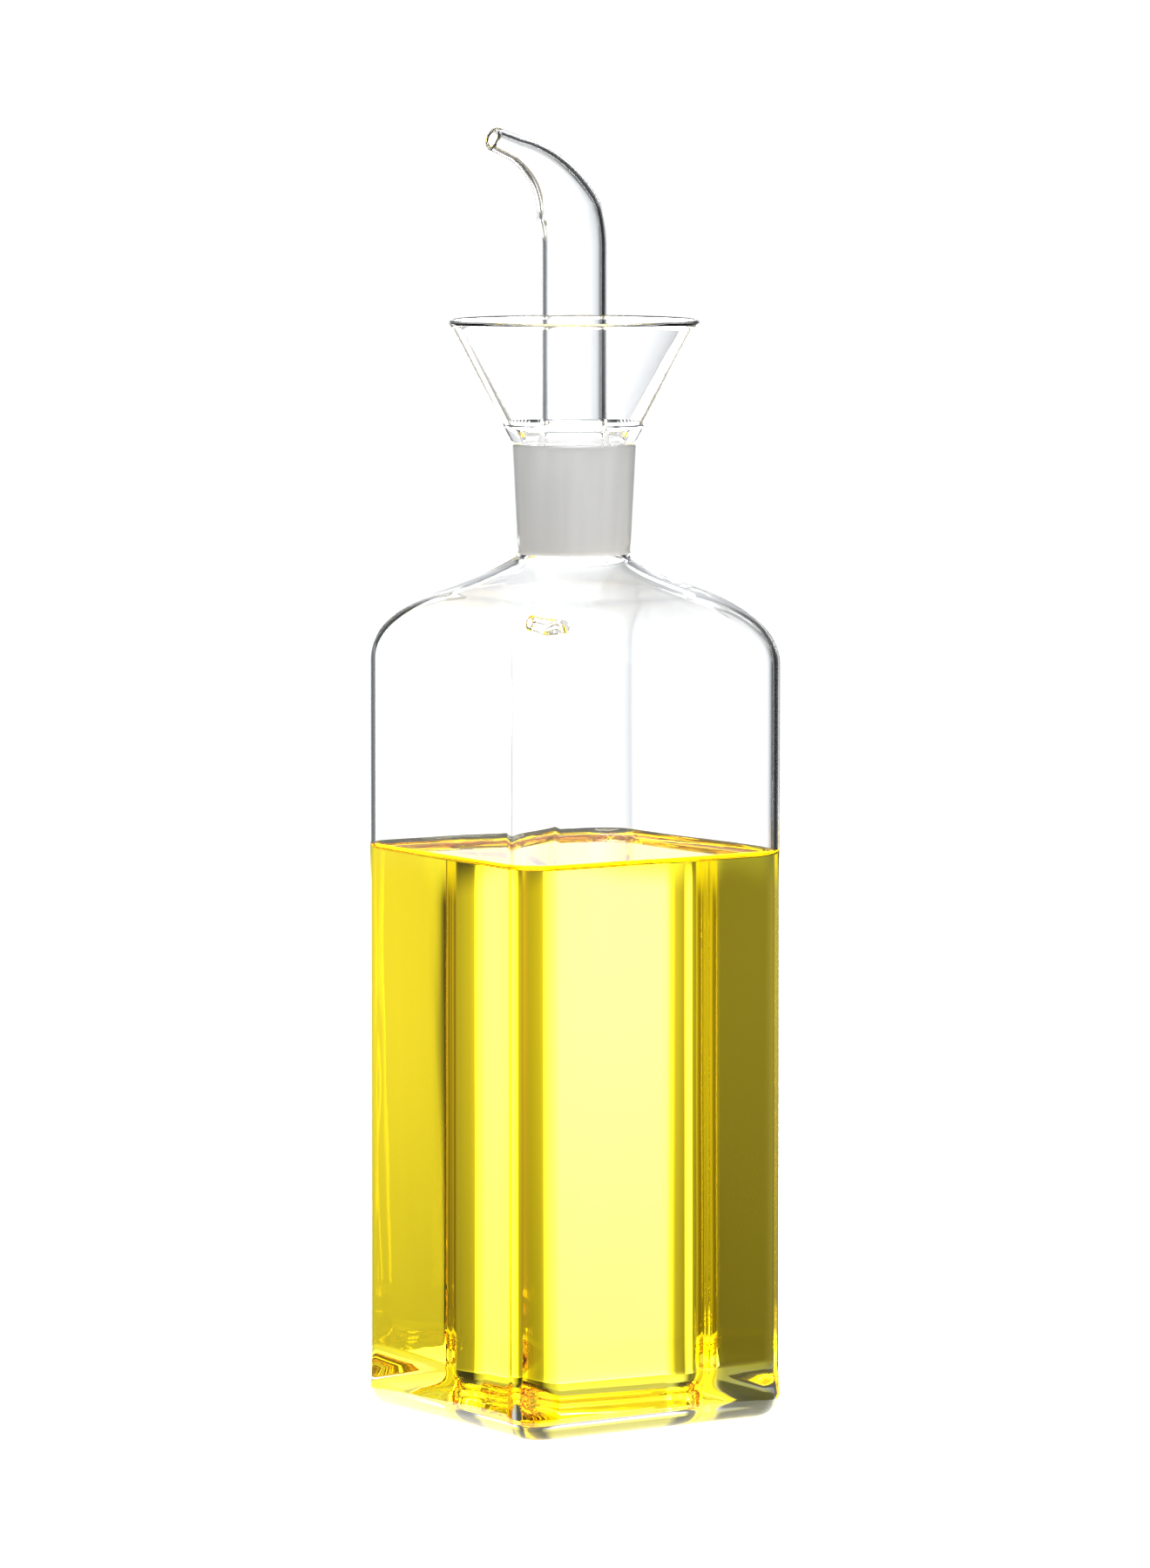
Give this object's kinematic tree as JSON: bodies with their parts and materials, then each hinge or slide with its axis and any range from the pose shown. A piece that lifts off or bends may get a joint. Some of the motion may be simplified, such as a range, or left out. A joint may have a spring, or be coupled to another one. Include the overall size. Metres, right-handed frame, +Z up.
{
  "type": "oil dispenser bottle",
  "caption": "Square glass table bottle with rounded shoulders, ground-glass stopper with drip funnel and bent pouring spout, about two thirds full of yellow oil.",
  "frame": {"origin": "centre of the underside of the bottle, on the surface it stands on", "axes": "+Z up along the neck; -X the way the spout points; the flat sides face along X and Y"},
  "size_m": [0.0644, 0.0644, 0.2593],
  "materials": {
    "clear_glass": "clear polished glass",
    "ground_glass": "frosted ground glass of the stopper joint",
    "yellow_oil": "clear yellow cooking oil with a glossy surface"
  },
  "bodies": {
    "root": {"bottle": "clear_glass", "pourer": "ground_glass", "oil": "yellow_oil"}
  },
  "joints": []
}
